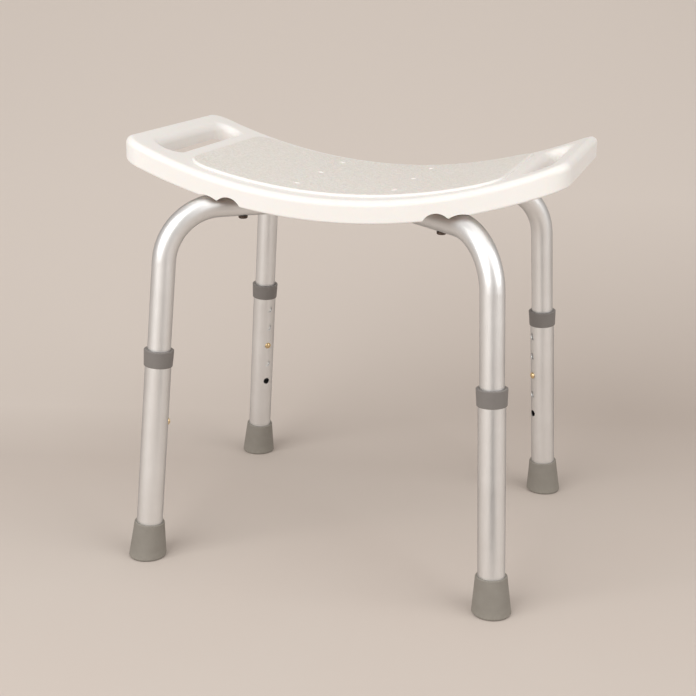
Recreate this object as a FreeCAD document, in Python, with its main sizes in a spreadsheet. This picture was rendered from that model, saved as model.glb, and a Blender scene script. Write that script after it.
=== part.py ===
"""Bath stool: a saddle-shaped moulded seat on two crossed bent tubes with four telescoping legs.

Millimetres, +Z up, +X along the seat's length, -Y to the front. The origin is on the floor, below the
middle of the seat. Both bent tubes lie in upright diagonal planes and cross under the seat. Each carries
two legs that lean in towards the top. A leg is an outer tube with a row of holes, and it slides on the
end of the bent tube. A sprung button in the bent tube drops into one of the holes and locks the leg.
"""
import FreeCAD, Part
import math
import os
import Sketcher

# The driving dimensions: alias, value, what it is.
DIMENSIONS = [
    ("seat_radius", 570, "radius of the seat's hollow top, about an axis along Y"),
    ("seat_height", 413, "top of the seat at its middle"),
    ("seat_length", 478, "end to end, between the upright end faces"),
    ("seat_depth", 270, "front to back at the middle"),
    ("bow_radius", 3281, "plan radius of the bowed front and back"),
    ("sweep_half_angle", 26, "half of the sweep of the top before its ends are cut, degrees"),
    ("skirt_depth", 24, "height of the skirt, square to the top"),
    ("seat_wall", 3.2, "moulded wall"),
    ("corner_radius", 24, "corners in plan"),
    ("rim_radius", 6.5, "rounding of the top edge"),
    ("skirt_rounding", 1.8, "rounding of the skirt's lower edge"),
    ("panel_half_angle", 17.4, "half of the raised panel's sweep, degrees"),
    ("panel_depth", 224, "front to back"),
    ("panel_rise", 2.6, "height of the panel above the rim"),
    ("panel_corner", 28, "corners of the panel in plan"),
    ("panel_rounding", 2.2, "rounding of the panel's edge"),
    ("slot_angle", 20.6, "place of a hand slot on the seat's sweep, degrees"),
    ("slot_width", 27, "across a hand slot"),
    ("slot_length", 182, "along a hand slot"),
    ("slot_rounding", 8, "rounding of a hand slot's upper edge"),
    ("slot_wall", 6.5, "thickness of the wall round a hand slot"),
    ("well_depth", 19, "depth of the wall round a hand slot"),
    ("rib_depth", 12, "depth of the ribs under the top"),
    ("rib_width", 2.4, "thickness of a rib"),
    ("rib_half_angle", 18.6, "half of the sweep of the ribs along the seat, degrees"),
    ("drain_spacing_x", 54, "drain hole columns, each side of the middle"),
    ("drain_spacing_y", 80, "between drain holes along Y"),
    ("drain_diameter", 5, "drain hole"),
    ("drain_rounding", 1.8, "rounding of a drain hole's upper edge"),
    ("notch_place", 113, "arched notch in the skirt, from the middle"),
    ("notch_radius", 16.5, "arched notch"),
    ("notch_rise", 7, "height of the arched notch"),
    ("relief_place", 141, "shallow relief above the leg, from the middle"),
    ("relief_radius", 26, "shallow relief"),
    ("relief_rise", 2, "height of the shallow relief"),
    ("notch_cut", 27, "how far the notches are cut in, half of it from outside the skirt"),
    ("boss_diameter", 16, "screw boss under the top"),
    ("screw_place", 145, "screw, from the middle along the bent tube"),
    ("screw_diameter", 5.8, "screw shank"),
    ("screw_head", 10, "screw head diameter"),
    ("screw_head_height", 3, "screw head"),
    ("screw_length", 35, "screw under its head"),
    ("recess_arm", 2.6, "half length of an arm of the screw's cross recess"),
    ("recess_half", 0.6, "half width of an arm"),
    ("tube_diameter", 25.4, "bent tube"),
    ("tube_wall", 1.2, "wall of all tubes"),
    ("run_height", 394, "centre line of the bent tube's level run"),
    ("bend_radius", 62, "centre line of a bend"),
    ("foot_radius", 260.5, "foot centre on the floor, from the origin"),
    ("diagonal_angle", 40.9, "turn of the diagonal plane from X, degrees"),
    ("lean_angle", 4.55, "lean of a leg, degrees"),
    ("tube_end", 118, "lower end of the bent tube, along the leg from the floor"),
    ("crush_flat", 17, "half length of the flattened part where the tubes cross"),
    ("rivet_diameter", 6, "rivet through both tubes"),
    ("rivet_head", 13, "rivet head diameter"),
    ("rivet_head_height", 2.4, "rivet head"),
    ("leg_diameter", 28.6, "outer tube of a leg"),
    ("leg_start", 8, "lower end of the outer tube, along the leg"),
    ("leg_end", 238, "upper end of the outer tube, along the leg"),
    ("hole_first", 107.7, "lowest hole, along the leg"),
    ("hole_pitch", 25.4, "between holes"),
    ("hole_count", 5, "holes in an outer tube"),
    ("hole_diameter", 8.2, "hole in an outer tube"),
    ("button_station", 158.5, "button, along the leg"),
    ("button_diameter", 7.8, "button"),
    ("button_seat", 8.9, "inner face of the button, from the leg's axis"),
    ("button_reach", 16.9, "tip of the button, from the leg's axis"),
    ("button_dome", 1.95, "height of the button's dome"),
    ("flange_width", 0.8, "flange beyond the button's side"),
    ("flange_thickness", 1.3, "flange inside the bent tube"),
    ("clip_thickness", 0.8, "spring strip"),
    ("clip_width", 8, "spring strip"),
    ("clip_bend", 7.5, "centre line of the spring's bend"),
    ("clip_above", 26, "bend centre above the button"),
    ("clip_below", 8, "ends of the strip below the button"),
    ("clip_spread", 6, "opening of the spring's far leg, degrees"),
    ("collar_start", 223, "lower edge of the collar, along the leg"),
    ("collar_height", 18.5, "collar"),
    ("collar_diameter", 31.2, "collar at its lower edge"),
    ("collar_top_diameter", 32.8, "collar at its top"),
    ("collar_rounding", 1, "outer edges of the collar"),
    ("collar_lip", 3.3, "lip over the end of the outer tube"),
    ("foot_diameter", 42, "rubber foot at the floor"),
    ("foot_top_diameter", 33.4, "rubber foot at its top"),
    ("foot_height", 41, "rubber foot, along the leg"),
    ("foot_floor", 6, "rubber under the tube"),
    ("foot_rounding", 2.4, "edge of the sole"),
    ("foot_rim", 1, "rounding of the foot's top"),
    ("foot_groove", 2.5, "depth of the groove and hollow in the sole"),
    ("hollow_diameter", 18.5, "hollow in the middle of the sole"),
    ("groove_inner", 27.7, "inner diameter of the ring groove"),
    ("groove_outer", 32, "outer diameter of the ring groove"),
    ("fit_gap", 0.03, "radial gap between fixed round parts"),
    ("slide_gap", 0.3, "radial gap between a collar and the bent tube"),
    ("screw_gap", 0.05, "radial gap round the screws in the seat and the rivet"),
    ("hole_gap", 0.1, "radial gap in the other holes and channels"),
    ("overlap", 1.5, "how far joined walls, ribs and bosses run into each other"),
    ("cut_clear", 5, "how far a cut starts and ends outside what it cuts"),
]

# Places worked out from the sheet, in the upright plane of a bent tube: r outwards, z up.
BEND_Z = "(Dims.run_height - Dims.bend_radius)"
BEND_R = (
    "(Dims.foot_radius - (Dims.bend_radius + " + BEND_Z + " * sin(Dims.lean_angle))"
    " / cos(Dims.lean_angle))"
)
SEAT_AXIS = "(Dims.seat_height + Dims.seat_radius)"
LEG_INSIDE = "(Dims.leg_diameter / 2 - Dims.tube_wall)"

# A corner's turn about the origin: the sign of the diagonal angle, and what is added to it in degrees.
CORNERS = {"front_left": (1, 180), "front_right": (-1, 0), "back_right": (1, 0), "back_left": (-1, 180)}

doc = FreeCAD.newDocument("bath_stool")


def make_sheet():
    sheet = doc.addObject("Spreadsheet::Sheet", "Dims")
    for row, (alias, value, note) in enumerate(DIMENSIONS, start=1):
        sheet.set("A%d" % row, note)
        sheet.set("B%d" % row, str(value))
        sheet.setAlias("B%d" % row, alias)
    doc.recompute()


def make_reader():
    """An object whose one property works out an expression of the sheet."""
    made = doc.addObject("App::FeaturePython", "reader")
    made.addProperty("App::PropertyFloat", "Result")
    return made


make_sheet()
reader = make_reader()


def number(expression):
    reader.setExpression("Result", expression)
    reader.recompute()
    return reader.Result


# Sketches


def new_body(name):
    body = doc.addObject("PartDesign::Body", name)
    body.Label = name
    return body


def new_sketch(body, plane, offset=None):
    """A sketch on one of the body's origin planes, moved off it by offset (an expression) if given."""
    drawing = body.newObject("Sketcher::SketchObject", body.Name + "_sketch")
    support = next(f for f in body.Origin.OriginFeatures if f.Role == plane)
    drawing.AttachmentSupport = (support, "")
    drawing.MapMode = "FlatFace"
    if offset:
        drawing.setExpression("AttachmentOffset.Base.z", offset)
    return drawing


def tie(drawing, kind, places, expression):
    """A constraint whose size follows an expression of the sheet."""
    index = drawing.addConstraint(Sketcher.Constraint(kind, *places, number(expression)))
    drawing.setExpression("Constraints[%d]" % index, expression)


def circular_edge(start, end, radius, side):
    """The shorter arc from start to end. It bulges to the left of the way there if side is 1."""
    chord = end - start
    left = FreeCAD.Vector(-chord.y, chord.x, 0).normalize()
    drop = (radius**2 - chord.Length**2 / 4) ** 0.5
    middle = (start + end) / 2 + left * side * (radius - drop)
    return Part.Arc(start, middle, end)


def join(drawing, end, start, kind="Coincident"):
    """Two ends meet, or run on smoothly if the kind is Tangent. An end is (geometry, point)."""
    drawing.addConstraint(Sketcher.Constraint(kind, *end, *start))


def draw(drawing, corners, closed=True):
    """Draw lines (x, y) and arcs (x, y, radius, side) that end at each corner, all expressions."""
    points = [FreeCAD.Vector(number(c[0]), number(c[1]), 0) for c in corners]
    first = 0 if closed else 1
    for n in range(first, len(corners)):
        start, end, corner = points[n - 1], points[n], corners[n]
        if len(corner) == 2:
            index, end_point = drawing.addGeometry(Part.LineSegment(start, end)), 2
        else:
            index = drawing.addGeometry(circular_edge(start, end, number(corner[2]), corner[3]))
            end_point = 1 if corner[3] == 1 else 2
            tie(drawing, "Radius", (index,), corner[2])
        if n == first:
            first_index, first_point = index, 3 - end_point
        else:
            join(drawing, (last_index, last_point), (index, 3 - end_point))
        tie(drawing, "DistanceX", (index, end_point), corner[0])
        tie(drawing, "DistanceY", (index, end_point), corner[1])
        last_index, last_point = index, end_point
    if closed:
        join(drawing, (last_index, last_point), (first_index, first_point))
    else:
        tie(drawing, "DistanceX", (first_index, first_point), corners[0][0])
        tie(drawing, "DistanceY", (first_index, first_point), corners[0][1])


def draw_circle(drawing, x, y, radius):
    centre = FreeCAD.Vector(number(x), number(y), 0)
    index = drawing.addGeometry(Part.Circle(centre, FreeCAD.Vector(0, 0, 1), number(radius)))
    tie(drawing, "DistanceX", (index, 3), x)
    tie(drawing, "DistanceY", (index, 3), y)
    tie(drawing, "Radius", (index,), radius)


# Features of a body


def add_pad(body, drawing, length, symmetric=False, reverse=False):
    pad = body.newObject("PartDesign::Pad", body.Name + "_pad")
    pad.Profile = drawing
    pad.SideType = "Symmetric" if symmetric else "One side"
    pad.Reversed = reverse
    pad.setExpression("Length", length)
    return pad


def add_pocket(body, drawing, length=None, symmetric=False, reverse=False):
    """Cut the sketch to a length, or through everything if none is given."""
    pocket = body.newObject("PartDesign::Pocket", body.Name + "_pocket")
    pocket.Profile = drawing
    pocket.SideType = "Symmetric" if symmetric else "One side"
    pocket.Reversed = reverse
    if length:
        pocket.setExpression("Length", length)
    else:
        pocket.Type = "ThroughAll"
    return pocket


def add_revolution(body, drawing):
    turned = body.newObject("PartDesign::Revolution", body.Name + "_turned")
    turned.Profile = drawing
    turned.ReferenceAxis = (drawing, ["V_Axis"])
    turned.Angle = 360
    return turned


def add_fillet(body, base, chosen, radius):
    """Round the edges of a finished feature that the function chosen picks."""
    doc.recompute()
    names = ["Edge%d" % n for n, edge in enumerate(base.Shape.Edges, start=1) if chosen(edge)]
    fillet = body.newObject("PartDesign::Fillet", body.Name + "_rounding")
    fillet.Base = (base, names)
    fillet.setExpression("Radius", radius)
    doc.recompute()
    return fillet


# Seat


def on_sweep(radius, angle):
    """A point of the seat's section at a radius and angle from the axis of its hollow, as expressions."""
    return (
        "(%s) * sin(%s)" % (radius, angle),
        SEAT_AXIS + " - (%s) * cos(%s)" % (radius, angle),
    )


def draw_band(drawing, inner, outer, half_angle):
    """A curved band of the seat's section between two radii."""
    left = "-(%s)" % half_angle
    draw(
        drawing,
        [
            (*on_sweep(inner, half_angle), inner, -1),
            on_sweep(outer, half_angle),
            (*on_sweep(outer, left), outer, 1),
            on_sweep(inner, left),
        ],
    )


def draw_slot(drawing, half_width, half_length):
    """A slot along Y with round ends, about the sketch's origin."""
    width, centre = number(half_width), number("%s - %s" % (half_length, half_width))
    normal = FreeCAD.Vector(0, 0, 1)
    ends = []
    for side, angles in ((1, (0, 180)), (-1, (180, 360))):
        circle = Part.Circle(FreeCAD.Vector(0, side * centre, 0), normal, width)
        arc = Part.ArcOfCircle(circle, *(math.radians(a) for a in angles))
        ends.append(drawing.addGeometry(arc))
        tie(drawing, "DistanceX", (ends[-1], 3), "0")
        tie(drawing, "DistanceY", (ends[-1], 3), "%d * (%s - %s)" % (side, half_length, half_width))
        tie(drawing, "Radius", (ends[-1],), half_width)
    for side, (after, before) in ((1, ends), (-1, reversed(ends))):
        near = FreeCAD.Vector(side * width, -side * centre, 0)
        far = FreeCAD.Vector(side * width, side * centre, 0)
        line = drawing.addGeometry(Part.LineSegment(near, far))
        join(drawing, (line, 2), (after, 1), "Tangent")
        join(drawing, (line, 1), (before, 2), "Tangent")


def from_seat_axis(point):
    return math.hypot(point.x, point.z - number(SEAT_AXIS))


def lies_on(edge, radius):
    """Whether all of an edge is at a radius from the axis of the seat's hollow."""
    return all(abs(from_seat_axis(p) - radius) < 0.01 for p in edge.discretize(5))


def make_seat_block(body, wall, below):
    """A curved band cut to the seat's plan outline with rounded corners, inside it by a wall.

    It reaches below the skirt by a depth. The wall and the depth are expressions.
    """
    top = "Dims.seat_radius + " + wall
    section = new_sketch(body, "XZ_Plane")
    draw_band(section, top, "Dims.seat_radius + Dims.skirt_depth + " + below, "Dims.sweep_half_angle")
    add_pad(body, section, "Dims.seat_depth + 2 * Dims.cut_clear", symmetric=True)
    half = "(Dims.seat_length / 2 - %s)" % wall
    bow = "(Dims.bow_radius - %s)" % wall
    side = "(Dims.seat_depth / 2 - Dims.bow_radius + sqrt(%s ^ 2 - %s ^ 2))" % (bow, half)
    far = "Dims.seat_length"
    plan = new_sketch(body, "XY_Plane")
    draw(plan, [(far, "-" + far), (far, far), ("-" + far, far), ("-" + far, "-" + far)])
    draw(
        plan,
        [(half, "-" + side, bow, -1), (half, side), ("-" + half, side, bow, -1), ("-" + half, "-" + side)],
    )
    sides = add_pocket(body, plan, symmetric=True)
    longest = number("Dims.skirt_depth + Dims.corner_radius")
    corners = add_fillet(body, sides, lambda e: e.Length < longest, "Dims.corner_radius - " + wall)
    radius = number(top)
    return add_fillet(body, corners, lambda e: lies_on(e, radius), "Dims.rim_radius - " + wall)


def make_seat_shell_block(body):
    """The outside of the seat, opened from below so that a moulded wall is left."""
    block = make_seat_block(body, "0", "0")
    radius = number("Dims.seat_radius + Dims.skirt_depth")
    add_fillet(body, block, lambda e: lies_on(e, radius), "Dims.skirt_rounding")
    cavity = new_body("seat_cavity")
    make_seat_block(cavity, "Dims.seat_wall", "Dims.corner_radius / 2")
    hollow = body.newObject("PartDesign::Boolean", "seat_hollow")
    hollow.Type = "Cut"
    hollow.setObjects([cavity])
    doc.recompute()


def add_panel(body):
    """The raised panel that one sits on."""
    section = new_sketch(body, "XZ_Plane")
    top = "Dims.seat_radius - Dims.panel_rise"
    draw_band(section, top, "Dims.seat_radius + Dims.overlap", "Dims.panel_half_angle")
    panel = add_pad(body, section, "Dims.panel_depth", symmetric=True)
    doc.recompute()
    half = number("Dims.panel_depth / 2")
    rise = number("Dims.panel_rise")
    radius = number(top)

    def is_corner(edge):
        return abs(edge.Length - rise) < 0.1 and abs(abs(edge.CenterOfMass.y) - half) < 0.1

    corners = add_fillet(body, panel, is_corner, "Dims.panel_corner")
    add_fillet(body, corners, lambda e: lies_on(e, radius), "Dims.panel_rounding")


def seat_plane_sketch(body, side, radius):
    """A sketch square to the seat's section at a hand slot, at a radius from the axis."""
    drawing = new_sketch(body, "XY_Plane")
    angle = "%d * Dims.slot_angle" % side
    x, z = on_sweep(radius, angle)
    drawing.AttachmentOffset = FreeCAD.Placement(
        FreeCAD.Vector(), FreeCAD.Rotation(FreeCAD.Vector(0, -side, 0), number("Dims.slot_angle"))
    )
    drawing.setExpression("AttachmentOffset.Base.x", x)
    drawing.setExpression("AttachmentOffset.Base.z", z)
    drawing.setExpression("AttachmentOffset.Rotation.Angle", "Dims.slot_angle")
    return drawing


def add_hand_slot(body, side):
    """A through slot with a wall round it and a soft upper edge."""
    well = seat_plane_sketch(body, side, "Dims.seat_radius + Dims.overlap / 3")
    outside = "(Dims.slot_width / 2 + Dims.slot_wall)"
    draw_slot(well, outside, "(Dims.slot_length / 2 + Dims.slot_wall)")
    add_pad(body, well, "Dims.well_depth", reverse=True)
    opening = seat_plane_sketch(body, side, "Dims.seat_radius - Dims.cut_clear")
    draw_slot(opening, "(Dims.slot_width / 2)", "(Dims.slot_length / 2)")
    cut = add_pocket(body, opening, "Dims.well_depth + 3 * Dims.cut_clear")
    radius = number("Dims.seat_radius")
    centre = radius * math.sin(math.radians(number("Dims.slot_angle")))
    reach = number("Dims.slot_width / 2 + Dims.overlap")

    def is_upper_edge(edge):
        near = all(abs(side * p.x - centre) < reach for p in edge.discretize(5))
        return near and lies_on(edge, radius)

    add_fillet(body, cut, is_upper_edge, "Dims.slot_rounding")


def ceiling_at(x):
    """Height of the underside of the top at a distance from the middle, as an expression."""
    return SEAT_AXIS + " - sqrt((Dims.seat_radius + Dims.seat_wall) ^ 2 - (%s) ^ 2)" % x


SCREW_X = "(Dims.screw_place * cos(Dims.diagonal_angle))"
SCREW_Y = "(Dims.screw_place * sin(Dims.diagonal_angle))"


def add_ribs(body):
    """Two ribs along the underside of the top, through the screw bosses."""
    inner = "Dims.seat_radius + Dims.seat_wall - Dims.overlap"
    outer = "Dims.seat_radius + Dims.seat_wall + Dims.rib_depth"
    for side in ("", "-"):
        section = new_sketch(body, "XZ_Plane", side + SCREW_Y)
        draw_band(section, inner, outer, "Dims.rib_half_angle")
        add_pad(body, section, "Dims.rib_width", symmetric=True)


def add_bosses(body):
    """Four screw bosses that stand on the bent tubes."""
    plan = new_sketch(body, "XY_Plane", "Dims.run_height")
    for x in (SCREW_X, "-" + SCREW_X):
        for y in (SCREW_Y, "-" + SCREW_Y):
            draw_circle(plan, x, y, "Dims.boss_diameter / 2")
    add_pad(body, plan, "(%s) - Dims.run_height + Dims.overlap" % ceiling_at(SCREW_X))


def cut_tube_channels(body):
    """Round channels through ribs and bosses for the two bent tubes."""
    for turn in (1, -1):
        section = new_sketch(body, "YZ_Plane")
        section.AttachmentOffset = FreeCAD.Placement(
            FreeCAD.Vector(), FreeCAD.Rotation(FreeCAD.Vector(0, turn, 0), number("Dims.diagonal_angle"))
        )
        section.setExpression("AttachmentOffset.Rotation.Angle", "Dims.diagonal_angle")
        draw_circle(section, "0", "Dims.run_height", "Dims.tube_diameter / 2 + Dims.hole_gap")
        add_pocket(body, section, symmetric=True)


def cut_screw_holes(body):
    plan = new_sketch(body, "XY_Plane", "Dims.run_height")
    for x in (SCREW_X, "-" + SCREW_X):
        for y in (SCREW_Y, "-" + SCREW_Y):
            draw_circle(plan, x, y, "Dims.screw_diameter / 2 + Dims.screw_gap")
    add_pocket(body, plan, "Dims.screw_length - Dims.tube_diameter / 2 + Dims.overlap / 2", reverse=True)


def cut_drains(body):
    """Drain holes with soft upper edges."""
    plan = new_sketch(body, "XY_Plane", "Dims.run_height")
    for column in (1, -1):
        for row in (1, 0, -1):
            x, y = "%d * Dims.drain_spacing_x" % column, "%d * Dims.drain_spacing_y" % row
            draw_circle(plan, x, y, "Dims.drain_diameter / 2")
    holes = add_pocket(body, plan, "Dims.seat_height", reverse=True)
    radius = number("Dims.seat_radius - Dims.panel_rise")
    longest = number("4 * Dims.drain_diameter")

    def is_upper_edge(edge):
        return edge.Length < longest and lies_on(edge, radius)

    add_fillet(body, holes, is_upper_edge, "Dims.drain_rounding")


def cut_notches(body):
    """An arched notch and a shallow relief in the skirt above each leg, front and back."""
    outer = "(Dims.seat_radius + Dims.skirt_depth)"
    for name in ("notch", "relief"):
        place, radius, rise = ("Dims.%s_%s" % (name, end) for end in ("place", "radius", "rise"))
        edge = SEAT_AXIS + " - sqrt(%s ^ 2 - %s ^ 2)" % (outer, place)
        for side in (1, -1):
            drawing = new_sketch(body, "XZ_Plane", "%d * (Dims.seat_depth + Dims.notch_cut) / 2" % side)
            for way in ("", "-"):
                draw_circle(drawing, way + place, "%s + %s - %s" % (edge, rise, radius), radius)
            add_pocket(body, drawing, "Dims.notch_cut", reverse=(side == -1))


def make_seat():
    body = new_body("seat_shell")
    make_seat_shell_block(body)
    add_panel(body)
    add_ribs(body)
    add_bosses(body)
    cut_tube_channels(body)
    cut_screw_holes(body)
    for side in (1, -1):
        add_hand_slot(body, side)
    cut_drains(body)
    cut_notches(body)
    return body


# Bent tubes


def add_pipe(body, spine, section):
    pipe = body.newObject("PartDesign::AdditivePipe", body.Name + "_pipe")
    pipe.Profile = section
    pipe.Spine = spine
    return pipe


def turn_about_z(obj, expression):
    """Stand an object drawn in the XZ plane in an upright plane at an angle from X."""
    turn = FreeCAD.Rotation(FreeCAD.Vector(0, 0, 1), number(expression))
    obj.Placement = FreeCAD.Placement(FreeCAD.Vector(), turn)
    obj.setExpression("Placement.Rotation.Angle", expression)


def make_bent_rod(name, radius, turn):
    """A solid rod along the centre line of a bent tube: level run, two bends and two leaning ends."""
    body = new_body(name)
    spine = new_sketch(body, "XZ_Plane")
    draw(
        spine,
        [
            ("0", "Dims.run_height"),
            (BEND_R, "Dims.run_height"),
            (
                BEND_R + " + Dims.bend_radius * cos(Dims.lean_angle)",
                BEND_Z + " + Dims.bend_radius * sin(Dims.lean_angle)",
                "Dims.bend_radius",
                1,
            ),
            (
                "Dims.foot_radius - Dims.tube_end * sin(Dims.lean_angle)",
                "Dims.tube_end * cos(Dims.lean_angle)",
            ),
        ],
        closed=False,
    )
    section = new_sketch(body, "YZ_Plane")
    draw_circle(section, "0", "Dims.run_height", radius)
    half = add_pipe(body, spine, section)
    doc.recompute()
    both = body.newObject("PartDesign::Mirrored", name + "_both")
    both.Originals = [half]
    both.MirrorPlane = (spine, ["V_Axis"])
    body.Tip = both
    turn_about_z(body, turn)
    return body


def make_crush(name, side, wall, turn):
    """What flattening takes off a tube at the crossing: below its centre if side is -1, above if 1."""
    body = new_body(name)
    drawing = new_sketch(body, "XZ_Plane")
    inner = "(Dims.run_height - %d * (%s))" % (side, wall)
    outer = "(Dims.run_height + %d * Dims.tube_diameter)" % side
    flat = "(Dims.crush_flat + (%s))" % wall
    slope = "(Dims.crush_flat + Dims.tube_diameter + 2 * (%s))" % wall
    draw(drawing, [(flat, inner), (slope, outer), ("-" + slope, outer), ("-" + flat, inner)])
    add_pad(body, drawing, "Dims.tube_diameter + Dims.cut_clear", symmetric=True)
    turn_about_z(body, turn)
    return body


def make_cut(name, base, tool):
    cut = doc.addObject("Part::Cut", name)
    cut.Label = name
    cut.Base = base
    cut.Tool = tool
    return cut


def make_drill(name, radius, length, place, tilt):
    """A cylinder in the plane of a bent tube: place is (r, z), tilt turns it from upright about -Y."""
    drill = doc.addObject("Part::Cylinder", name)
    drill.setExpression("Radius", radius)
    drill.setExpression("Height", length)
    lean = FreeCAD.Rotation(FreeCAD.Vector(0, -1, 0), number(tilt))
    drill.Placement = FreeCAD.Placement(FreeCAD.Vector(), lean)
    drill.setExpression("Placement.Base.x", place[0])
    drill.setExpression("Placement.Base.z", place[1])
    drill.setExpression("Placement.Rotation.Angle", tilt)
    return drill


def make_tube_holes(name, turn):
    """The screw holes, rivet hole and button holes of a bent tube, as one tool."""
    length = "Dims.tube_diameter + 2 * Dims.cut_clear"
    low = "Dims.run_height - Dims.tube_diameter / 2 - Dims.cut_clear"
    rivet = "Dims.rivet_diameter / 2 + Dims.screw_gap"
    drills = [make_drill(name + "_rivet", rivet, length, ("0", low), "0")]
    for side, end in (("", "_right"), ("-", "_left")):
        place = (side + "Dims.screw_place", low)
        radius = "Dims.screw_diameter / 2 + Dims.hole_gap"
        drills.append(make_drill(name + "_screw" + end, radius, length, place, "0"))
        place = (
            side + "(Dims.foot_radius - Dims.button_station * sin(Dims.lean_angle))",
            "Dims.button_station * cos(Dims.lean_angle)",
        )
        radius = "Dims.button_diameter / 2 + Dims.hole_gap"
        tilt = side + "(90 + Dims.lean_angle)"
        drills.append(make_drill(name + "_button" + end, radius, "Dims.tube_diameter", place, tilt))
    tool = doc.addObject("Part::MultiFuse", name)
    tool.Shapes = drills
    turn_about_z(tool, turn)
    return tool


def make_bent_tube(name, side, turn):
    """A bent tube, flattened from below (side -1) or above (side 1) where it crosses the other one."""
    skins = []
    for skin, wall in (("_outside", "0"), ("_inside", "Dims.tube_wall")):
        rod = make_bent_rod(name + skin, "Dims.tube_diameter / 2 - " + wall, turn)
        crush = make_crush(name + "_crush" + skin, side, wall, turn)
        skins.append(make_cut(name + "_flat" + skin, rod, crush))
    pipe = make_cut(name + "_pipe", *skins)
    return make_cut(name, pipe, make_tube_holes(name + "_holes", turn))


# Fasteners


def dome_radius(width, height):
    """Radius of the ball that a dome of a width and a height is cut from, as an expression."""
    return "((%s) ^ 2 / 4 + (%s) ^ 2) / (2 * (%s))" % (width, height, height)


def make_rivet():
    body = new_body("cross_rivet")
    profile = new_sketch(body, "XZ_Plane")
    shank, head = "Dims.rivet_diameter / 2", "Dims.rivet_head / 2"
    low = "Dims.run_height - Dims.tube_diameter / 2"
    high = "Dims.run_height + Dims.tube_diameter / 2"
    crown = dome_radius("Dims.rivet_head", "Dims.rivet_head_height")
    draw(
        profile,
        [
            ("0", low + " - Dims.rivet_head_height"),
            (head, low, crown, -1),
            (shank, low),
            (shank, high),
            (head, high),
            ("0", high + " + Dims.rivet_head_height", crown, -1),
        ],
    )
    add_revolution(body, profile)
    return body


def is_lower_rim(edge):
    return edge.Closed and edge.CenterOfMass.z < 0


def make_seat_screws():
    """Four screws as one group: pan heads with a cross recess, below the bent tubes."""
    screws = []
    for turn in (1, -1):
        for side in (1, -1):
            body = new_body("screw_%d" % (len(screws) + 1))
            plan = new_sketch(body, "XY_Plane")
            draw_circle(plan, "0", "0", "Dims.screw_head / 2")
            head = add_pad(body, plan, "Dims.screw_head_height", reverse=True)
            add_fillet(body, head, is_lower_rim, "Dims.screw_head_height / 2")
            stem = new_sketch(body, "XY_Plane")
            draw_circle(stem, "0", "0", "Dims.screw_diameter / 2")
            add_pad(body, stem, "Dims.screw_length")
            recess = new_sketch(body, "XY_Plane", "-Dims.screw_head_height")
            arm, half = "Dims.recess_arm", "Dims.recess_half"
            draw(
                recess,
                [(arm, half), (half, half), (half, arm), ("-" + half, arm), ("-" + half, half)]
                + [("-" + arm, half), ("-" + arm, "-" + half), ("-" + half, "-" + half)]
                + [("-" + half, "-" + arm), (half, "-" + arm), (half, "-" + half), (arm, "-" + half)],
            )
            add_pocket(body, recess, "Dims.screw_head_height / 2", reverse=True)
            body.setExpression("Placement.Base.x", "%d * %s" % (side, SCREW_X))
            body.setExpression("Placement.Base.y", "%d * %s" % (side * turn, SCREW_Y))
            body.setExpression("Placement.Base.z", "Dims.run_height - Dims.tube_diameter / 2")
            screws.append(body)
    group = doc.addObject("Part::Compound", "seat_screws")
    group.Label = "seat_screws"
    group.Links = screws
    return group


# Legs. Each piece is drawn about the leg's axis, upright, with the floor at zero and the outside at +X.


def stand_on_leg(body, corner):
    """Move a piece to its corner and lean it in."""
    turn, half_turn = CORNERS[corner]
    angle = "%d * Dims.diagonal_angle + %d" % (turn, half_turn)
    place = "vector(Dims.foot_radius * cos(%s); Dims.foot_radius * sin(%s); 0)" % (angle, angle)
    about_z = "rotation(vector(0; 0; 1); %s)" % angle
    lean = "rotation(vector(0; -1; 0); Dims.lean_angle)"
    body.setExpression("Placement", "placement(%s; %s * %s)" % (place, about_z, lean))
    return body


def make_leg_tube(corner):
    body = new_body("leg_tube_" + corner)
    ring = new_sketch(body, "XY_Plane", "Dims.leg_start")
    for radius in ("Dims.leg_diameter / 2", LEG_INSIDE):
        draw_circle(ring, "0", "0", radius)
    add_pad(body, ring, "Dims.leg_end - Dims.leg_start")
    hole = new_sketch(body, "YZ_Plane")
    draw_circle(hole, "0", "Dims.hole_first", "Dims.hole_diameter / 2")
    first = add_pocket(body, hole, "Dims.leg_diameter")
    doc.recompute()
    row = body.newObject("PartDesign::LinearPattern", body.Name + "_holes")
    row.Originals = [first]
    row.Direction = (hole, ["V_Axis"])
    row.setExpression("Length", "Dims.hole_pitch * (Dims.hole_count - 1)")
    row.setExpression("Occurrences", "Dims.hole_count")
    body.Tip = row
    return body


def make_collar(corner):
    """A ring over the end of the outer tube, wider at its top, with a lip round the inner one."""
    body = new_body("collar_" + corner)
    profile = new_sketch(body, "XZ_Plane")
    top = "Dims.collar_start + Dims.collar_height"
    sleeve, lip = "Dims.leg_diameter / 2 + Dims.fit_gap", "Dims.tube_diameter / 2 + Dims.slide_gap"
    draw(
        profile,
        [
            (sleeve, "Dims.collar_start"),
            ("Dims.collar_diameter / 2", "Dims.collar_start"),
            ("Dims.collar_top_diameter / 2", top),
            (lip, top),
            (lip, top + " - Dims.collar_lip"),
            (sleeve, top + " - Dims.collar_lip"),
        ],
    )
    ring = add_revolution(body, profile)
    sleeve_width = number("Dims.leg_diameter + 2 * Dims.fit_gap")

    def is_outer_rim(edge):
        return edge.Closed and edge.BoundBox.XLength > sleeve_width + 1

    add_fillet(body, ring, is_outer_rim, "Dims.collar_rounding")
    return body


def is_level(edge, height):
    return edge.BoundBox.ZLength < 0.01 and abs(edge.BoundBox.ZMin - height) < 0.01


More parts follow.
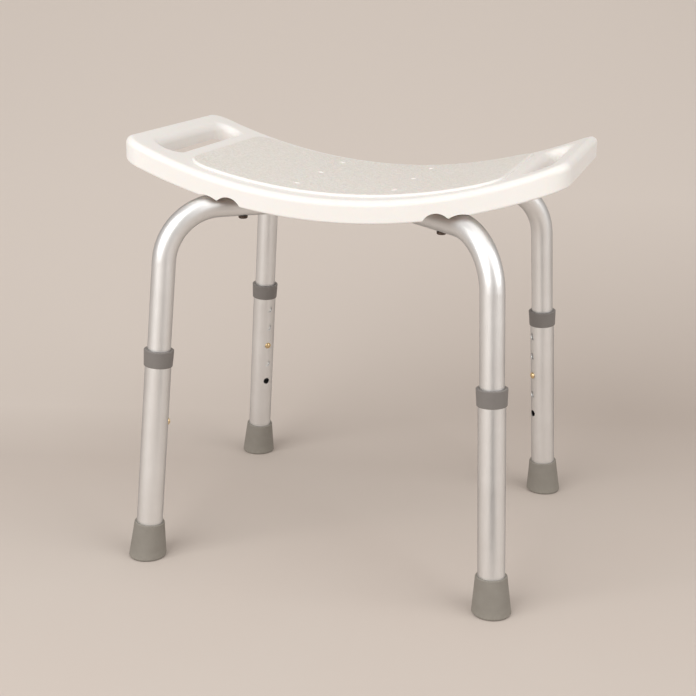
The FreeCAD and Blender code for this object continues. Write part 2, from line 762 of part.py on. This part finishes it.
def make_foot(corner):
    """A tapered rubber cup with a ring groove and a hollow in its sole, cut level with the floor."""
    body = new_body("foot_" + corner)
    profile = new_sketch(body, "XZ_Plane")
    neck = "Dims.foot_top_diameter / 2"
    taper = "((Dims.foot_diameter - Dims.foot_top_diameter) / 2 / Dims.foot_height)"
    base = "(Dims.foot_diameter / 2 + Dims.foot_floor * %s)" % taper
    bore = "Dims.leg_diameter / 2 + Dims.fit_gap"
    below = "-Dims.foot_floor"
    hollow, groove_in, groove_out = (
        "Dims.%s / 2" % width for width in ("hollow_diameter", "groove_inner", "groove_outer")
    )
    draw(
        profile,
        [
            ("0", "Dims.foot_groove"),
            (hollow, "Dims.foot_groove"),
            (hollow, below),
            (groove_in, below),
            (groove_in, "Dims.foot_groove"),
            (groove_out, "Dims.foot_groove"),
            (groove_out, below),
            (base, below),
            (neck, "Dims.foot_height"),
            (bore, "Dims.foot_height"),
            (bore, "Dims.foot_floor"),
            ("0", "Dims.foot_floor"),
        ],
    )
    add_revolution(body, profile)
    floor = new_sketch(body, "XZ_Plane")
    reach, deep = "Dims.foot_diameter", "-Dims.foot_diameter / 2"
    drop = "Dims.foot_diameter * tan(Dims.lean_angle)"
    draw(floor, [(reach, "-" + drop), (reach, deep), ("-" + reach, deep), ("-" + reach, drop)])
    cup = add_pocket(body, floor, symmetric=True)
    width = number("Dims.foot_diameter - Dims.overlap")
    sole = add_fillet(body, cup, lambda e: e.BoundBox.XLength > width, "Dims.foot_rounding")
    top = number("Dims.foot_height")
    bore_width = number("2 * (%s)" % bore)

    def is_upper_rim(edge):
        return is_level(edge, top) and edge.BoundBox.XLength > bore_width + 1

    add_fillet(body, sole, is_upper_rim, "Dims.foot_rim")
    return body


def make_foot_washer(corner):
    """A steel disc between the outer tube's end and the rubber."""
    body = new_body("foot_washer_" + corner)
    plan = new_sketch(body, "XY_Plane", "Dims.foot_floor")
    draw_circle(plan, "0", "0", "Dims.leg_diameter / 2 - Dims.hole_gap")
    add_pad(body, plan, "Dims.leg_start - Dims.foot_floor")
    return body


def make_button(corner):
    """A domed button with a flange inside the bent tube. It points to the middle of the stool."""
    body = new_body("snap_button_" + corner)
    profile = new_sketch(body, "XZ_Plane")
    profile.setExpression("AttachmentOffset.Base.y", "Dims.button_station")
    shank = "Dims.button_diameter / 2"
    flange = "Dims.button_diameter / 2 + Dims.flange_width"
    flange_face = "-(Dims.button_seat + Dims.flange_thickness)"
    edge = "-(Dims.button_reach - Dims.button_dome)"
    crown = dome_radius("Dims.button_diameter", "Dims.button_dome")
    draw(
        profile,
        [
            ("-Dims.button_seat", "0"),
            ("-Dims.button_seat", flange),
            (flange_face, flange),
            (flange_face, shank),
            (edge, shank),
            ("-Dims.button_reach", "0", crown, -1),
        ],
    )
    turned = add_revolution(body, profile)
    turned.ReferenceAxis = (profile, ["H_Axis"])
    return body


def make_button_spring(corner):
    """A bent strip spring inside the bent tube that holds the button out."""
    body = new_body("button_spring_" + corner)
    profile = new_sketch(body, "XZ_Plane")
    half = "Dims.clip_thickness / 2"
    centre_x = "(-Dims.button_seat + %s + Dims.clip_bend)" % half
    centre_z = "(Dims.button_station + Dims.clip_above)"
    low = "(Dims.button_station - Dims.clip_below)"
    reach = "(Dims.clip_above + Dims.clip_below)"

    def beside(radius):
        """Ends of the bend and of the far leg at a radius about the bend's centre."""
        x = "%s + (%s) * cos(Dims.clip_spread)" % (centre_x, radius)
        z = "%s + (%s) * sin(Dims.clip_spread)" % (centre_z, radius)
        return (x, z), (x + " + %s * tan(Dims.clip_spread)" % reach, z + " - " + reach)

    inner, outer = "Dims.clip_bend - " + half, "Dims.clip_bend + " + half
    inner_end, inner_tip = beside(inner)
    outer_end, outer_tip = beside(outer)
    draw(
        profile,
        [
            ("%s - (%s)" % (centre_x, outer), low),
            ("%s - (%s)" % (centre_x, outer), centre_z),
            (*outer_end, outer, 1),
            outer_tip,
            inner_tip,
            inner_end,
            ("%s - (%s)" % (centre_x, inner), centre_z, inner, -1),
            ("%s - (%s)" % (centre_x, inner), low),
        ],
    )
    add_pad(body, profile, "Dims.clip_width", symmetric=True)
    return body


LEG_PIECES = (make_leg_tube, make_collar, make_foot, make_foot_washer, make_button, make_button_spring)


def make_all():
    pieces = [make_seat()]
    pieces.append(make_bent_tube("bent_tube_a", -1, "Dims.diagonal_angle"))
    pieces.append(make_bent_tube("bent_tube_b", 1, "-Dims.diagonal_angle"))
    pieces += [make_rivet(), make_seat_screws()]
    for corner in CORNERS:
        pieces += [stand_on_leg(make(corner), corner) for make in LEG_PIECES]
    return pieces


def check(pieces):
    doc.recompute()
    failed = [o.Name for o in doc.Objects if "Invalid" in o.State or "Error" in o.State]
    failed += [p.Label for p in pieces if p.Shape.isNull() or not p.Shape.isValid()]
    if failed:
        raise RuntimeError("failed: " + ", ".join(failed))


def write(pieces):
    os.makedirs("parts", exist_ok=True)
    for piece in pieces:
        piece.Shape.exportStep("parts/%s.step" % piece.Label)
        box = piece.Shape.optimalBoundingBox(False)
        print(
            "%-26s solids %d  volume %8.0f  x %7.1f %7.1f  y %7.1f %7.1f  z %6.1f %6.1f"
            % (piece.Label, len(piece.Shape.Solids), piece.Shape.Volume, box.XMin, box.XMax,
               box.YMin, box.YMax, box.ZMin, box.ZMax)
        )


pieces = make_all()
check(pieces)
write(pieces)
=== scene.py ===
"""Looks of the shower chair: materials, floor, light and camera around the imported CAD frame.

Metres, +Z up, +X along the seat's length, -Y to the front, the floor at zero.
"""
import math

import bpy
from mathutils import Matrix, Vector

CORNERS = ("front_left", "front_right", "back_right", "back_left")

# Linear colours, and how strongly the room itself shines
SEAT_COLOUR = (0.85, 0.84, 0.825)
SEAT_SHADE = (0.83, 0.82, 0.80)
# The raised panel: a cream tone darkened in part as painted shade of its stipple, and a painted shade
# for the stipple's low spots
PANEL_CREAM_AND_PAINTED_SHADE = (0.825, 0.81, 0.775)
PANEL_PIT_PAINTED_SHADE = (0.735, 0.72, 0.68)
PAPER_FLOOR = (0.59, 0.54, 0.497)
PAPER_MOTTLE = (0.585, 0.525, 0.48)
# Lighter paper colour where the sweep rises: painted light on the backdrop
PAPER_RISE_PAINTED_LIGHT = (0.73, 0.672, 0.622)
# Painted shadow of the chair on the paper behind it
PAPER_PAINTED_SHADOW = (0.535, 0.475, 0.43)
ROOM_COLOUR = (1.0, 0.93, 0.88)
ROOM_STRENGTH = 0.49
LAMP_COLOUR = (1.0, 0.985, 0.965)
TUBE_DARK, TUBE_BRIGHT = (0.875, 0.885, 0.89), (0.925, 0.935, 0.94)
COLLAR_DARK, COLLAR_BRIGHT = (0.184, 0.172, 0.164), (0.196, 0.184, 0.175)
COLLAR_EDGE = (0.25, 0.23, 0.215)
RUBBER_DARK, RUBBER_BRIGHT = (0.238, 0.222, 0.195), (0.258, 0.242, 0.214)
RUBBER_DUST = (0.34, 0.32, 0.28)
BRASS_DARK, BRASS_BRIGHT = (0.72, 0.53, 0.28), (0.84, 0.66, 0.40)
STEEL_DARK, STEEL_BRIGHT = (0.45, 0.45, 0.45), (0.6, 0.6, 0.6)
RIVET_DARK, RIVET_BRIGHT = (0.55, 0.55, 0.56), (0.7, 0.7, 0.71)
SCREW_DARK, SCREW_BRIGHT = (0.09, 0.065, 0.055), (0.16, 0.12, 0.10)

# The raised panel of the seat: half its length, and the curve that parts it from the rim round it
PANEL_HALF_LENGTH = 0.1695
SADDLE_RISE = 0.89
SADDLE_LOW = 0.4145

# How the panel's look fades in: over its height, along its length and as its faces turn upwards
PANEL_FADE_UP, PANEL_FADE_ALONG = 0.0008, 0.003
PANEL_FACING = (0.86, 0.93)

# The parts of a noise's range that are stretched over a change of colour or roughness
MIDDLE = (0.3, 0.7)
NARROW = (0.35, 0.65)

# Painted shadow of the seat on the tubes close under it, in dark brown: where it starts and is full,
# and how far out it reaches
PAINTED_SHADOW_HEIGHTS = (0.390, 0.402)
PAINTED_SHADOW_REACH = (0.175, 0.190)
PAINTED_SHADOW_SHARE = 0.75
PAINTED_SHADOW_COLOUR = (0.30, 0.24, 0.20)

# How far up the dust on the feet reaches
DUST_HEIGHT = 0.012

# Camera
CAMERA_PLACE = (0.390, -1.3155, 0.6365)
CAMERA_TURN, CAMERA_TILT, CAMERA_ROLL = (math.radians(a) for a in (17.22, 72.98, 1.16))
LENS_MM = 63.9

# Paper sweep: flat under the chair, and curved up behind it.
SWEEP_START = 0.45
SWEEP_RADIUS = 2.2
SWEEP_WIDTH = 6.0
SWEEP_FRONT = 3.5
SWEEP_STEPS = 24
SWEEP_RISE = math.radians(80)

# Dark card on the floor before the chair: left, right, near and far edges, and height
FLAG = (0.02, 0.28, 0.42, 3.0)
FLAG_HEIGHT = 0.002
FLAG_COLOUR = (0.11, 0.10, 0.09)

# Lights: name, turn from the camera's side in degrees, distance, height, size, power
LAMPS = (
    ("left_box", -43, 2.2, 1.45, (2.1, 1.9), 38),
    ("right_box", 58, 2.2, 1.45, (2.0, 1.9), 22),
    ("top_box", 10, 0.85, 2.7, (2.6, 2.6), 15),
)
LAMP_AIM = (0, 0, 0.25)


class Shader:
    """A material built up node by node. A value that is a socket is linked, anything else is set."""

    def __init__(self, name):
        self.material = bpy.data.materials.new(name)
        self.material.use_nodes = True
        self.tree = self.material.node_tree
        self.surface = next(n for n in self.tree.nodes if n.type == "BSDF_PRINCIPLED")
        self.place = self.node("ShaderNodeTexCoord").outputs["Object"]

    def put(self, node, socket, value):
        if isinstance(value, bpy.types.NodeSocket):
            self.tree.links.new(value, node.inputs[socket])
        else:
            node.inputs[socket].default_value = value

    def node(self, kind, settings=(), **inputs):
        made = self.tree.nodes.new(kind)
        for name, value in dict(settings).items():
            setattr(made, name, value)
        for name, value in inputs.items():
            self.put(made, name.replace("_", " "), value)
        return made

    def set(self, **inputs):
        for name, value in inputs.items():
            self.put(self.surface, name.replace("_", " "), value)

    def stretched(self, scale):
        return self.node("ShaderNodeMapping", Vector=self.place, Scale=scale).outputs["Vector"]

    def noise(self, scale, detail=3.0, roughness=0.55, place=None):
        place = place or self.place
        numbers = {"Scale": scale, "Detail": detail, "Roughness": roughness}
        made = self.node("ShaderNodeTexNoise", Vector=place, **numbers)
        return made.outputs["Fac"]

    def span(self, value, low, high, start=0.0, end=1.0):
        """The value's range from start to end, stretched to run from low to high."""
        made = self.node("ShaderNodeMapRange", Value=value)
        for name, number in (("From Min", start), ("From Max", end), ("To Min", low), ("To Max", high)):
            self.put(made, name, number)
        return made.outputs["Result"]

    def math(self, operation, *values):
        made = self.tree.nodes.new("ShaderNodeMath")
        made.operation = operation
        for n, value in enumerate(values):
            self.put(made, n, value)
        return made.outputs["Value"]

    def mix(self, share, first, second):
        made = self.node("ShaderNodeMix", {"data_type": "RGBA"})
        self.put(made, 0, share)
        for n, colour in ((6, first), (7, second)):
            self.put(made, n, colour if isinstance(colour, bpy.types.NodeSocket) else (*colour, 1.0))
        return made.outputs[2]

    def bump(self, height, distance, strength=1.0, below=None):
        made = self.node("ShaderNodeBump", Height=height, Distance=distance, Strength=strength)
        if below:
            self.put(made, "Normal", below)
        return made.outputs["Normal"]

    def worn_edges(self, sharpest):
        """Near 1 on the sharp outer edges of a mesh, and 0 elsewhere."""
        pointiness = self.node("ShaderNodeNewGeometry").outputs["Pointiness"]
        return self.span(pointiness, 0.0, 1.0, 0.5, sharpest)


def seat_plastic():
    """Off-white moulded plastic, with a fine stipple on the raised panel, coloured there a cream that
    is darker partly as painted shade, with painted shade in the stipple's low spots.
    """
    s = Shader("seat_plastic")
    panel = panel_share(s)
    pits = s.span(s.noise(330.0, 2.0, 0.5), 0.0, 1.0, *NARROW)
    cloud = s.span(s.noise(9.0, 4.0), 0.0, 1.0, *MIDDLE)
    plain = s.mix(cloud, SEAT_COLOUR, SEAT_SHADE)
    # On the panel the stipple's low spots get painted shade, and the whole panel a cream darkened in
    # part as painted shade
    s.set(Base_Color=s.mix(panel, plain, s.mix(pits, PANEL_PIT_PAINTED_SHADE, PANEL_CREAM_AND_PAINTED_SHADE)))
    s.set(Roughness=s.span(s.noise(60.0), 0.34, 0.46))
    grain = s.bump(s.noise(700.0, 2.0), 0.00012, 0.35)
    s.set(Normal=s.bump(s.math("MULTIPLY", panel, pits), 0.0007, 0.9, grain))
    s.set(IOR=1.5)
    s.set(Subsurface_Weight=0.08, Subsurface_Scale=0.01)
    return s.material


def panel_share(s):
    """1 on top of the raised panel and 0 off it, from the height over a curve between panel and rim."""
    x, z = (s.node("ShaderNodeSeparateXYZ", Vector=s.place).outputs[n] for n in (0, 2))
    normal = s.node("ShaderNodeNewGeometry").outputs["Normal"]
    up = s.node("ShaderNodeSeparateXYZ", Vector=normal).outputs[2]
    curve = s.math("MULTIPLY_ADD", s.math("MULTIPLY", x, x), SADDLE_RISE, SADDLE_LOW)
    high = s.span(s.math("SUBTRACT", z, curve), 0.0, 1.0, 0.0, PANEL_FADE_UP)
    ends = (PANEL_HALF_LENGTH - PANEL_FADE_ALONG, PANEL_HALF_LENGTH)
    along = s.span(s.math("ABSOLUTE", x), 1.0, 0.0, *ends)
    facing = s.span(up, 0.0, 1.0, *PANEL_FACING)
    return s.math("MULTIPLY", s.math("MULTIPLY", high, along), facing)


def anodised():
    """Satin anodised aluminium with faint drawing marks, and a painted shadow of the seat on the tubes
    close under it.
    """
    s = Shader("anodised_tube")
    x, y, z = s.node("ShaderNodeSeparateXYZ", Vector=s.place).outputs
    out = s.math("SQRT", s.math("ADD", s.math("MULTIPLY", x, x), s.math("MULTIPLY", y, y)))
    near_centre = s.span(out, 1.0, 0.0, *PAINTED_SHADOW_REACH)
    # Painted shadow: the tops of the tubes close under the seat turn dark brown, standing in for the
    # seat's shadow on them
    painted_shadow = s.math("MULTIPLY", s.span(z, 0.0, PAINTED_SHADOW_SHARE, *PAINTED_SHADOW_HEIGHTS), near_centre)
    streaks = s.noise(900.0, 3.0, 0.6, s.stretched((1.0, 1.0, 0.012)))
    patches = s.noise(22.0, 4.0)
    shade = s.math("MULTIPLY_ADD", streaks, 0.35, s.math("MULTIPLY", patches, 0.65))
    clean = s.mix(s.span(shade, 0.0, 1.0, *NARROW), TUBE_DARK, TUBE_BRIGHT)
    # The tube's colour, with the painted shadow of the seat mixed in close under it
    s.set(Base_Color=s.mix(painted_shadow, clean, PAINTED_SHADOW_COLOUR))
    s.set(Metallic=1.0, Specular_Tint=(0.35, 0.35, 0.35, 1.0))
    s.set(Roughness=s.span(shade, 0.36, 0.44, *NARROW))
    s.set(Normal=s.bump(streaks, 0.00002, 0.25))
    return s.material


def collar_plastic():
    s = Shader("collar_plastic")
    grain = s.noise(1200.0, 2.0)
    base = s.mix(s.span(s.noise(60.0, 3.0), 0.0, 1.0, *MIDDLE), COLLAR_DARK, COLLAR_BRIGHT)
    s.set(Base_Color=s.mix(s.math("MULTIPLY", s.worn_edges(0.62), 0.5), base, COLLAR_EDGE))
    s.set(Roughness=s.span(grain, 0.46, 0.62))
    s.set(Normal=s.bump(grain, 0.00008, 0.5))
    return s.material


def foot_rubber():
    s = Shader("foot_rubber")
    z = s.node("ShaderNodeSeparateXYZ", Vector=s.place).outputs[2]
    grain = s.noise(1500.0, 2.0)
    low = s.span(z, 1.0, 0.0, 0.0, DUST_HEIGHT)
    dust = s.math("MULTIPLY", low, s.span(s.noise(220.0, 4.0), 0.2, 1.0, *NARROW))
    base = s.mix(s.span(s.noise(70.0, 4.0), 0.0, 1.0, *MIDDLE), RUBBER_DARK, RUBBER_BRIGHT)
    s.set(Base_Color=s.mix(s.math("MULTIPLY", dust, 0.5), base, RUBBER_DUST))
    s.set(Roughness=s.span(grain, 0.62, 0.8))
    s.set(Normal=s.bump(grain, 0.0001, 0.5))
    return s.material


def brass():
    s = Shader("button_brass")
    patches = s.noise(300.0, 3.0)
    s.set(Base_Color=s.mix(s.span(patches, 0.0, 1.0, *MIDDLE), BRASS_DARK, BRASS_BRIGHT))
    s.set(Metallic=1.0)
    s.set(Roughness=s.span(patches, 0.2, 0.34))
    s.set(Normal=s.bump(s.noise(2500.0), 0.00002, 0.3))
    return s.material


def plain_metal(name, dark, bright, smooth, rough, scale):
    s = Shader(name)
    patches = s.noise(scale, 4.0)
    s.set(Base_Color=s.mix(s.span(patches, 0.0, 1.0, *MIDDLE), dark, bright))
    s.set(Metallic=1.0)
    s.set(Roughness=s.span(patches, smooth, rough, *MIDDLE))
    s.set(Normal=s.bump(s.noise(scale * 6), 0.00003, 0.3))
    return s.material


def paper():
    """Warm paper, painted lighter where it rises behind the chair, with a soft painted shadow of the
    chair there, strongest to the right.
    """
    s = Shader("paper")
    across, depth = (s.node("ShaderNodeSeparateXYZ", Vector=s.place).outputs[n] for n in (0, 1))
    mottle = s.span(s.noise(2.3, 3.0), 0.0, 1.0, *MIDDLE)
    # Painted light: the paper gets a lighter colour where it rises behind the chair
    rise = s.span(depth, 0.0, 1.0, 0.18, 0.38)
    colour = s.mix(rise, s.mix(mottle, PAPER_FLOOR, PAPER_MOTTLE), PAPER_RISE_PAINTED_LIGHT)
    # Painted shadow of the chair on the paper behind it, strongest to the right
    chair_shadow_painted = s.math("MULTIPLY", s.span(depth, 0.0, 1.0, -0.2, 0.35), s.span(depth, 1.0, 0.0, 0.4, 1.3))
    chair_shadow_painted = s.math("MULTIPLY", chair_shadow_painted, s.span(across, 0.2, 1.0, -0.45, 0.4))
    s.set(Base_Color=s.mix(chair_shadow_painted, colour, PAPER_PAINTED_SHADOW))
    s.set(Roughness=0.9)
    s.set(Specular_IOR_Level=0.15)
    s.set(Normal=s.bump(s.noise(900.0), 0.0001, 0.3))
    return s.material


def paint(frame):
    """Give every CAD node its material."""
    tube, collar, foot, button = anodised(), collar_plastic(), foot_rubber(), brass()
    steel = plain_metal("steel", STEEL_DARK, STEEL_BRIGHT, 0.25, 0.4, 120.0)
    chosen = {
        "seat_shell": seat_plastic(),
        "bent_tube_a": tube,
        "bent_tube_b": tube,
        "cross_rivet": plain_metal("rivet", RIVET_DARK, RIVET_BRIGHT, 0.3, 0.45, 150.0),
        "seat_screws": plain_metal("screw", SCREW_DARK, SCREW_BRIGHT, 0.35, 0.5, 260.0),
    }
    kinds = (
        ("leg_tube_", tube),
        ("collar_", collar),
        ("foot_washer_", steel),
        ("foot_", foot),
        ("snap_button_", button),
        ("button_spring_", steel),
    )
    for prefix, material in kinds:
        chosen.update({prefix + corner: material for corner in CORNERS})
    for name, material in chosen.items():
        mesh = frame["nodes"][name].data
        mesh.materials.clear()
        mesh.materials.append(material)


def make_sweep():
    """A paper sweep across the view, made of its profile drawn out sideways."""
    profile = [(-SWEEP_FRONT, 0.0), (SWEEP_START, 0.0)]
    for n in range(1, SWEEP_STEPS + 1):
        angle = SWEEP_RISE * n / SWEEP_STEPS
        rise = SWEEP_RADIUS * (1 - math.cos(angle))
        profile.append((SWEEP_START + SWEEP_RADIUS * math.sin(angle), rise))
    verts = [(side * SWEEP_WIDTH / 2, y, z) for y, z in profile for side in (-1, 1)]
    faces = [(2 * n, 2 * n + 1, 2 * n + 3, 2 * n + 2) for n in range(len(profile) - 1)]
    mesh = bpy.data.meshes.new("sweep")
    mesh.from_pydata(verts, [], faces)
    mesh.shade_smooth()
    mesh.materials.append(paper())
    sweep = bpy.data.objects.new("sweep", mesh)
    sweep.rotation_euler = (0, 0, CAMERA_TURN)
    bpy.context.scene.collection.objects.link(sweep)


def make_flag():
    """A dark card on the floor before the chair, seen only in reflections, as a studio floor is."""
    s = Shader("flag")
    s.set(Base_Color=(*FLAG_COLOUR, 1))
    mesh = bpy.data.meshes.new("flag")
    left, right, near, far = FLAG
    corners = ((left, -far), (right, -far), (right, -near), (left, -near))
    mesh.from_pydata([(x, y, FLAG_HEIGHT) for x, y in corners], [], [(0, 1, 2, 3)])
    mesh.materials.append(s.material)
    flag = bpy.data.objects.new("flag", mesh)
    flag.rotation_euler = (0, 0, CAMERA_TURN)
    flag.visible_camera = flag.visible_diffuse = flag.visible_shadow = flag.visible_transmission = False
    bpy.context.scene.collection.objects.link(flag)


def add_light(name, turn, distance, height, size, power):
    """A soft box that faces the chair. Turn is measured from the camera's side, to the right."""
    light = bpy.data.lights.new(name, "AREA")
    light.shape = "RECTANGLE"
    light.size, light.size_y = size
    light.energy = power
    light.color = LAMP_COLOUR
    box = bpy.data.objects.new(name, light)
    angle = CAMERA_TURN + math.radians(turn)
    box.location = (distance * math.sin(angle), -distance * math.cos(angle), height)
    aim = Vector(LAMP_AIM) - box.location
    box.rotation_euler = aim.to_track_quat("-Z", "Y").to_euler()
    box.visible_camera = False
    bpy.context.scene.collection.objects.link(box)


def make_lights():
    for lamp in LAMPS:
        add_light(*lamp)
    world = bpy.data.worlds.new("studio")
    world.use_nodes = True
    background = world.node_tree.nodes["Background"]
    background.inputs["Color"].default_value = (*ROOM_COLOUR, 1)
    background.inputs["Strength"].default_value = ROOM_STRENGTH
    bpy.context.scene.world = world
    bpy.context.scene.view_settings.view_transform = "Standard"


def make_camera():
    data = bpy.data.cameras.new("camera")
    data.lens = LENS_MM
    camera = bpy.data.objects.new("camera", data)
    turn = Matrix.Rotation(CAMERA_TURN, 4, "Z") @ Matrix.Rotation(CAMERA_TILT, 4, "X")
    camera.matrix_world = Matrix.Translation(CAMERA_PLACE) @ turn @ Matrix.Rotation(CAMERA_ROLL, 4, "Z")
    bpy.context.scene.collection.objects.link(camera)
    bpy.context.scene.camera = camera


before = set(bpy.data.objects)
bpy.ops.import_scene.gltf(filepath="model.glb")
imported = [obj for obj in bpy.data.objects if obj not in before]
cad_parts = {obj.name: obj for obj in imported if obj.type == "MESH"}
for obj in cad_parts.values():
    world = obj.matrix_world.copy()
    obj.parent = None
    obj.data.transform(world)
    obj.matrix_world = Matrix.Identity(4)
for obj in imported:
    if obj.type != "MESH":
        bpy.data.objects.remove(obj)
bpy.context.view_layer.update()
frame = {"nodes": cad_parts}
paint(frame)
make_sweep()
make_flag()
make_lights()
make_camera()
